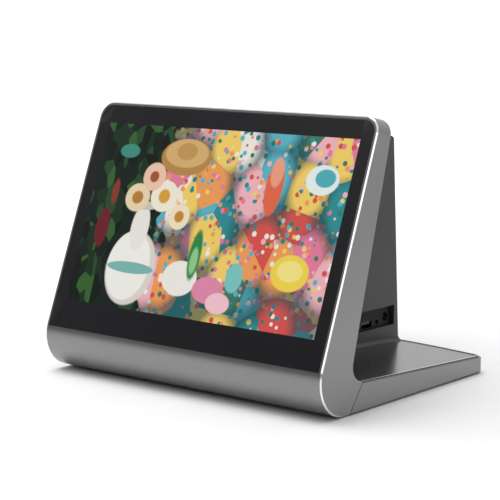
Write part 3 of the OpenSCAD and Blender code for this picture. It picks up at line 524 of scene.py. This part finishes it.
def make_cover_glass():
    head = glass_head_above()
    glass = start_cube("glass_front", (-glass_w / 2, GLASS_RECESS, GLASS_FOOT),
                       (glass_w / 2, GLASS_RECESS + GLASS_T, head))
    give(glass, [black_glass, picture])
    bevel_edges(glass, GLASS_CORNER, lambda p, n: near(p.z, head) and abs(p.x) > glass_w / 4,
                segments=CORNER_STEPS)
    bevel_edges(glass, GLASS_RIM, lambda p, n: near(p.y, GLASS_RECESS), segments=2)
    cuts = [((side * ACTIVE_W / 2, 0, 0), (1, 0, 0)) for side in (-1, 1)]
    cuts += [((0, 0, level), (0, 0, 1)) for level in (ACTIVE_LOW, ACTIVE_HIGH)]
    for place, direction in cuts:
        select_front_faces(glass)
        bpy.ops.mesh.bisect(plane_co=place, plane_no=direction)
        bpy.ops.object.mode_set(mode="OBJECT")
    for face in glass.data.polygons:
        middle = face.center
        inside = abs(middle.x) < ACTIVE_W / 2 and ACTIVE_LOW < middle.z < ACTIVE_HIGH
        face.material_index = 1 if inside and face.normal.y < -0.99 else 0
    lean_back(glass)
    finish_piece(glass, "root", "cover_glass", "cover_glass")


make_cover_glass()

# %% [markdown]
# ## The silver frame
# The frame is one moulding: side bands, top, chin and nose. Seen from the side it is one outline, so it
# starts as a flat face of that outline, stretched across the whole width. Straight lines that meet are
# worked out, and the nose and the fillet are arcs. The same outline, set in by the wall, cuts the hollow.

# %% Side outline
WALL = 2.6 * MM
BASE_H = 21.2 * MM
BASE_REAR_H = 10.6 * MM
BAND_FOOT = 31.9 * MM
BAND_HEAD = 14.5 * MM
FILLET_R = 11 * MM
SEAM_RAKE = 13.5 * MM
TOP_SLOPE = math.radians(11.4)
foot_z = base_low.z
base_fall = (BASE_H - BASE_REAR_H) / (base_high.y - frame_low.y)
base_slope = math.atan(base_fall)


def flat(vector):
    """A point or direction of the side view, as rearward and up."""
    return Vector((vector.y, vector.z))


def meet(p, u, q, v):
    """Where the line through p along u meets the line through q along v."""
    return p + u * ((q - p).cross(v) / u.cross(v))


def arc(centre, radius, start, end, steps):
    """Points of an arc, with its angles in degrees from rearward towards up."""
    angles = [math.radians(start + (end - start) * i / steps) for i in range(steps + 1)]
    return [centre + radius * Vector((math.cos(a), math.sin(a))) for a in angles]


into, up = flat(INTO_SCREEN), flat(UP_SCREEN)
screen_low = flat(screen_start)
screen_h = (frame_high.z - screen_low.y) / up.y
top_front = screen_low + screen_h * up
top_along = Vector((math.cos(TOP_SLOPE), -math.sin(TOP_SLOPE)))
band_low = screen_low + BAND_FOOT * into
band_up = (top_front + BAND_HEAD * into - band_low).normalized()
band_high = meet(top_front, top_along, band_low, band_up)
rim_along = Vector((math.cos(base_slope), -math.sin(base_slope)))
rim_front = Vector((frame_low.y, foot_z + BASE_H))
heel = meet(rim_front, rim_along, band_low, band_up)
half_heel = rim_along.angle(band_up) / 2
fillet_c = heel + (rim_along + band_up).normalized() * (FILLET_R / math.sin(half_heel))
fillet_low = heel + rim_along * (FILLET_R / math.tan(half_heel))
seam_foot = Vector((fillet_low.x - SEAM_RAKE, foot_z))
nose_c = flat(nose_centre)
NOSE_STEPS = 32
FILLET_STEPS = 16
print("band from", band_low, "to", band_high, "fillet at", fillet_c)


def front_part(inset):
    """The top corner, the screen's plane and the nose, set in by a wall."""
    down = top_front - inset * Vector((math.sin(TOP_SLOPE), math.cos(TOP_SLOPE)))
    corner = meet(screen_low + inset * into, up, down, top_along)
    lean = math.degrees(LEAN)
    return [corner] + arc(nose_c, NOSE_R - inset, 180 - lean, 270, NOSE_STEPS)


def frame_outline():
    """The whole side view of the frame."""
    low_angle = -90 - math.degrees(base_slope)
    high_angle = math.degrees(math.atan2(band_up.y, band_up.x)) - 270
    fillet = arc(fillet_c, FILLET_R, low_angle, high_angle, FILLET_STEPS)
    return front_part(0) + [seam_foot] + fillet + [band_high]


def hollow_outline():
    """The hollow behind the wall, open to the rear."""
    far = base_high.y
    points = front_part(WALL)
    far_top = points[0].y - (far - points[0].x) * math.tan(TOP_SLOPE)
    return points + [Vector((far, foot_z + WALL)), Vector((far, far_top))]


def side_solid(name, outline, half_width):
    """A solid with this side outline, as wide as told. It starts as a filled circle with as many corners."""
    bpy.ops.object.select_all(action="DESELECT")
    bpy.ops.mesh.primitive_circle_add(vertices=len(outline), fill_type="NGON")
    piece = bpy.context.object
    piece.name = name
    for vertex, point in zip(piece.data.vertices, outline):
        vertex.co = (-half_width, point.x, point.y)
    bpy.ops.object.mode_set(mode="EDIT")
    bpy.ops.mesh.select_all(action="SELECT")
    bpy.ops.mesh.extrude_region_move(TRANSFORM_OT_translate={"value": (2 * half_width, 0, 0)})
    bpy.ops.mesh.select_all(action="SELECT")
    bpy.ops.mesh.normals_make_consistent(inside=False)
    bpy.ops.object.mode_set(mode="OBJECT")
    return piece


# %% [markdown]
# The two top corners are bevelled round first, so that the chamfers that follow run round them in one
# sweep. The wide chamfer goes round the front and is coloured near-white, a painted highlight; the narrow
# one runs along the rear of the bands, and a black one along the seam is painted shade. The hollow and the
# seat for the glass are cut last, because a cut leaves edges that a bevel would catch on.

# %% Silver frame
CORNER_R = 11 * MM
FRONT_CHAMFER = 0.8 * MM
REAR_CHAMFER = 0.65 * MM
SEAM_CHAMFER = 0.4 * MM
GLASS_GAP = 0.15 * MM
MIC_X = 40 * MM
MIC_BACK = 6 * MM
MIC_R = 0.5 * MM
# The window for the lit cell is a little larger than the cell, which reaches past the lit picture
CELL_GAP = 0.3 * MM
WINDOW_BELOW = 8.3 * MM
WINDOW_ABOVE = 3.3 * MM
# Heights that tell the top's edges, and the base's, from the rest
NEAR_TOP = 170 * MM
NEAR_BASE = 50 * MM


def block(name, low, high, corner=0.0):
    """A block that leans with the screen, its two top corners round."""
    piece = start_cube(name, low, high)
    top = high[2] - 1 * MM
    if corner:
        bevel_edges(piece, corner, lambda p, n: p.z > top and not near(p.x, 0)
                    and all(abs(v.y) < 0.5 for v in n), segments=CORNER_STEPS)
    lean_back(piece)
    return piece


def at_top_corner(point, normals):
    return point.z > NEAR_TOP and any(looks_up(v) for v in normals) and any(is_side(v) for v in normals)


def front_rim(point, normals):
    on_screen = any(v.dot(INTO_SCREEN) < -0.999 for v in normals)
    on_nose = any(is_side(v) for v in normals) and any(v.y < -0.001 or v.z < -0.99 for v in normals)
    return on_screen or on_nose


def rear_rim(point, normals):
    """Edges of the bands' rear faces, of the top's rear end, and of the fillet."""
    beside = any(is_side(v) for v in normals)
    rear = any(v.y > 0.02 and -0.5 < v.z < 0.97 and abs(v.x) < 0.01 for v in normals)
    fillet = any(looks_up(v) for v in normals) and point.z < NEAR_BASE
    return (rear and (beside or point.z > NEAR_TOP)) or (fillet and beside)


def seam_rim(point, normals):
    return any(v.y > 0.5 and v.z < -0.5 for v in normals) and any(is_side(v) for v in normals)


def is_front_chamfer(face):
    """The slanting faces that the front bevel leaves: along both sides, and over the top."""
    on_side = 0.6 < abs(face.normal.x) < 0.8 and face.normal.y < 0.02
    on_top = -0.85 < face.normal.dot(INTO_SCREEN) < -0.6 and face.center.z > NEAR_TOP
    return on_side or on_top


def make_silver_frame():
    shell = side_solid("silver_frame", frame_outline(), HALF_W)
    give(shell, [silver_lacquer, painted_highlight, black_plastic])
    bevel_edges(shell, CORNER_R, at_top_corner, segments=12)
    bevel_edges(shell, FRONT_CHAMFER, front_rim, segments=1)
    # The front chamfer gets the near-white colour, a painted highlight
    for face in shell.data.polygons:
        face.material_index = 1 if is_front_chamfer(face) else 0
    bevel_edges(shell, REAR_CHAMFER, rear_rim, segments=1)
    # Black on the seam's chamfer is painted shade in the groove
    bevel_edges(shell, SEAM_CHAMFER, seam_rim, segments=1, slot=2)

    hollow = side_solid("hollow", hollow_outline(), HALF_W - WALL)
    bevel_edges(hollow, CORNER_R - WALL, lambda p, n: p.z > NEAR_TOP / 2 and any(looks_up(v) for v in n)
                and any(is_side(v) for v in n), segments=10)
    cut_with(shell, hollow)
    seat_x = glass_w / 2 + GLASS_GAP
    cut_with(shell, block("seat", (-seat_x, -5 * MM, GLASS_FOOT - GLASS_GAP),
                          (seat_x, GLASS_RECESS + GLASS_T, glass_head_above() + GLASS_GAP),
                          GLASS_CORNER + GLASS_GAP))
    cell_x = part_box("lcd_panel")[1][0] + CELL_GAP
    cut_with(shell, block("window", (-cell_x, 0, ACTIVE_LOW - WINDOW_BELOW),
                          (cell_x, 4 * MM, ACTIVE_HIGH + WINDOW_ABOVE)))
    for side in (-1, 1):
        bpy.ops.object.select_all(action="DESELECT")
        bpy.ops.mesh.primitive_cylinder_add(vertices=12, radius=MIC_R, depth=12 * MM, location=(
            side * MIC_X, top_front.x + MIC_BACK, frame_high.z))
        cut_with(shell, bpy.context.object)
    finish_piece(shell, "root", "silver_paint", "front_frame")


make_silver_frame()

# %% [markdown]
# ## The base, its plate and the housing
# The base's side wall and raised lip, the top plate and the housing are welded copies of the CAD pieces,
# with the edges of their mouldings rounded. The lip stands a little in from the wall. Its side is coloured
# black, a painted shadow, and its top near-white, a painted highlight, so that it reads as a dark line under
# a light one.

# %% Base and its plate
LIP_IN = 1.5 * MM
LIP_H = 1.4 * MM
LIP_EDGE = 0.35 * MM
FOOT_EDGE = 0.8 * MM
PLATE_EDGE = 0.3 * MM


def base_top_z(y):
    """Height of the base's top line, which falls towards the rear."""
    return foot_z + BASE_H - base_fall * (y - frame_low.y)


def on_foot(point, normals):
    outer = any(abs(v.z) < 0.1 for v in normals)
    return any(looks_down(v) for v in normals) and near(point.z, foot_z, 0.05 * MM) and outer


def make_base_frame():
    shell = copy_of("base_frame", "silver_base", [silver_lacquer, black_plastic, painted_highlight])
    above_floor = foot_z + 6 * MM
    bevel_edges(shell, LIP_EDGE, lambda p, n: any(looks_up(v) for v in n) and p.z > above_floor)
    bevel_edges(shell, FOOT_EDGE, on_foot, segments=3)
    for face in shell.data.polygons:
        upright = abs(face.normal.z) < 0.5
        top = base_top_z(face.center.y)
        beside_lip = near(abs(face.center.x), HALF_W - LIP_IN, 0.05 * MM)
        # Black on the lip's side is a painted shadow
        if upright and beside_lip and face.center.z > top - LIP_H:
            face.material_index = 1
        # Near-white on the lip's top is a painted highlight
        if looks_up(face.normal) and near(face.center.z, top, 0.4 * MM):
            face.material_index = 2
    finish_piece(shell, "root", "silver_paint", "base_frame")


def make_top_plate():
    plate = copy_of("base_top_plate", "base_plate", [plate_lacquer])
    bevel_edges(plate, PLATE_EDGE, lambda p, n: any(looks_up(v) for v in n))
    finish_piece(plate, "root", "base_plate_paint", "base_top_plate")


make_base_frame()
make_top_plate()

# %% [markdown]
# The housing flares out a little where it stands on the plate. The flare is a slab of the housing's outline,
# its upper edge bevelled with a hollow profile, and everything inside the housing's walls is cut away.

# %% Housing, its flare and the screen's back
FLARE = 3.2 * MM
HOUSING_CORNER = 3 * MM
HOUSING_EDGE = 0.4 * MM
COVER_EDGE = 0.3 * MM
# The flare reaches this far into the housing's wall, and this far down into the plate, so that no gap shows
FLARE_INTO_WALL = 0.2 * MM
PLATE_SINK = 0.5 * MM
half_housing = housing_high.x
housing_rear = housing_high.y
# The room kept free round the three keys, which stand in one column
ABOUT_KEYS = 3 * MM
key_low = Vector(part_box("volume_down_key")[0])
key_high = Vector(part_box("power_key")[1])


def make_back_cover():
    cover = copy_of("panel_back_cover", "screen_back", [housing_plastic])
    bevel_edges(cover, COVER_EDGE, lambda p, n: any(v.y > 0.7 for v in n))
    finish_piece(cover, "root", "dark_grey_plastic", "panel_back_cover")


def upright_block(name, low, high, corner):
    """A block with its two rear upright corners round."""
    piece = start_cube(name, low, high)
    rear = high[1] - 0.1 * MM
    bevel_edges(piece, corner, lambda p, n: p.y > rear and all(abs(v.z) < 0.5 for v in n), segments=6)
    return piece


def outer_housing_edge(point, normals):
    """Edges of the housing's outside, except round the keys and where the screen hides them."""
    beside_keys = (point.x < 0 and key_low.y - ABOUT_KEYS < point.y < key_high.y + ABOUT_KEYS
                   and key_low.z - ABOUT_KEYS < point.z < key_high.z + ABOUT_KEYS)
    hidden = depth_behind_screen(point) < 40 * MM or point.z < housing_low.z + 2 * MM
    at_wall = near(abs(point.x), half_housing) or point.y > housing_rear - 12 * MM
    return at_wall and not hidden and not beside_keys


def make_housing():
    shell = copy_of("rear_housing", "housing", [housing_plastic])
    bevel_edges(shell, HOUSING_EDGE, outer_housing_edge)
    # The side wall has holes in it, and a face with holes shows cracks unless it is split well
    bpy.ops.object.mode_set(mode="EDIT")
    bpy.ops.mesh.select_all(action="SELECT")
    bpy.ops.mesh.quads_convert_to_tris(quad_method="BEAUTY", ngon_method="BEAUTY")
    bpy.ops.object.mode_set(mode="OBJECT")
    finish_piece(shell, "root", "dark_grey_plastic", "rear_housing")


def make_flare():
    front = fillet_c.x
    flare = upright_block("housing_flare", (-half_housing - FLARE, front, 0),
                          (half_housing + FLARE, housing_rear + FLARE, FLARE), HOUSING_CORNER + FLARE)
    give(flare, [housing_plastic])
    bevel_edges(flare, FLARE * 0.98, lambda p, n: any(looks_up(v) for v in n)
                and not any(v.y < -0.9 for v in n), segments=6, profile=0.13)
    inside_x = half_housing - FLARE_INTO_WALL
    cut_with(flare, upright_block("inside", (-inside_x, front - 5 * MM, -FLARE),
                                  (inside_x, housing_rear - FLARE_INTO_WALL, 2 * FLARE), HOUSING_CORNER))
    # It lies on the plate, which slopes down to the rear
    pivot = Matrix.Translation((0, housing_rear, 0))
    onto_plate = Matrix.Translation((0, 0, base_top_z(housing_rear) - PLATE_SINK))
    flare.data.transform(onto_plate @ pivot @ Matrix.Rotation(-base_slope, 4, "X") @ pivot.inverted())
    finish_piece(flare, "root", "dark_grey_plastic")


make_back_cover()
make_housing()
make_flare()

# %% [markdown]
# ## The studio
# White paper runs far back under one soft light overhead and a weaker one from the right front. The paper
# glows a little where it runs back to the rear left, so that it stays white far off.

# %% Floor and light
FLOOR_SIZE = 400
bpy.ops.object.select_all(action="DESELECT")
bpy.ops.mesh.primitive_plane_add(size=FLOOR_SIZE, location=(0, 0, 0))
floor = bpy.context.object
floor.name = "floor"
# The way the base's plate looks into when seen from the camera
REAR_LEFT = (-0.627, 0.766, 0.14)


def backdrop_paper():
    """Matt white paper, lit from below where it runs back to the rear left, as on a light table."""
    material = grained("studio_paper", "#f4f4f4", "#f8f8f8", 60.0, 0.6, Emission_Color=linear("#ffffff"))
    tree = material.node_tree
    place = add(tree, "ShaderNodeTexCoord").outputs["Object"]
    back = add(tree, "ShaderNodeVectorMath", {0: place, 1: REAR_LEFT}, operation="DOT_PRODUCT")
    glow = add(tree, "ShaderNodeMapRange", {"Value": back.outputs["Value"], "From Min": 0.1, "From Max": 1.2,
                                            "To Max": 0.55}, interpolation_type="SMOOTHSTEP")
    shader = next(node for node in tree.nodes if node.type == "BSDF_PRINCIPLED")
    tree.links.new(glow.outputs[0], shader.inputs["Emission Strength"])
    return material


floor.data.materials.append(backdrop_paper())

# Each light: name, place, side of its square, power in watts
LIGHTS = [
    ("overhead", (-0.25, -0.2, 1.1), 0.9, 8.5),
    ("right_front", (1.53, -1.06, 0.75), 0.9, 3.5)]
LIGHTS_AIM = Vector((0, 0, 0.08))
for name, place, size, power in LIGHTS:
    light_data = bpy.data.lights.new(name, "AREA")
    light_data.shape = "SQUARE"
    light_data.size = size
    light_data.energy = power
    light = bpy.data.objects.new(name, light_data)
    light.location = place
    light.rotation_euler = (LIGHTS_AIM - light.location).to_track_quat("-Z", "Y").to_euler()
    bpy.context.scene.collection.objects.link(light)

# %% [markdown]
# The room is white overhead and to the rear left, and grey low down in front and to the right. A silver
# surface is mostly what it reflects, so this is what draws the band across the chin.

# %% Room
world = bpy.data.worlds.new("room")
bpy.context.scene.world = world
world.use_nodes = True
room = world.node_tree
direction = add(room, "ShaderNodeTexCoord").outputs["Generated"]
towards = add(room, "ShaderNodeVectorMath", {0: direction, 1: REAR_LEFT}, operation="DOT_PRODUCT")
rear_white = add(room, "ShaderNodeMapRange", {"Value": towards.outputs["Value"], "From Min": -0.1,
                                              "From Max": 0.45}, interpolation_type="SMOOTHSTEP")
height = add(room, "ShaderNodeSeparateXYZ", {0: direction})
top_white = add(room, "ShaderNodeMapRange", {"Value": height.outputs["Z"], "From Min": 0.35,
                                             "From Max": 0.75}, interpolation_type="SMOOTHSTEP")
white = add(room, "ShaderNodeMath", {0: rear_white.outputs[0], 1: top_white.outputs[0]}, operation="MAXIMUM")
strength = add(room, "ShaderNodeMapRange", {"Value": white.outputs[0], "To Min": 0.1, "To Max": 0.8})
room.links.new(strength.outputs[0], room.nodes["Background"].inputs["Strength"])
room.nodes["Background"].inputs["Color"].default_value = linear("#ffffff")
bpy.context.scene.view_settings.view_transform = "Standard"
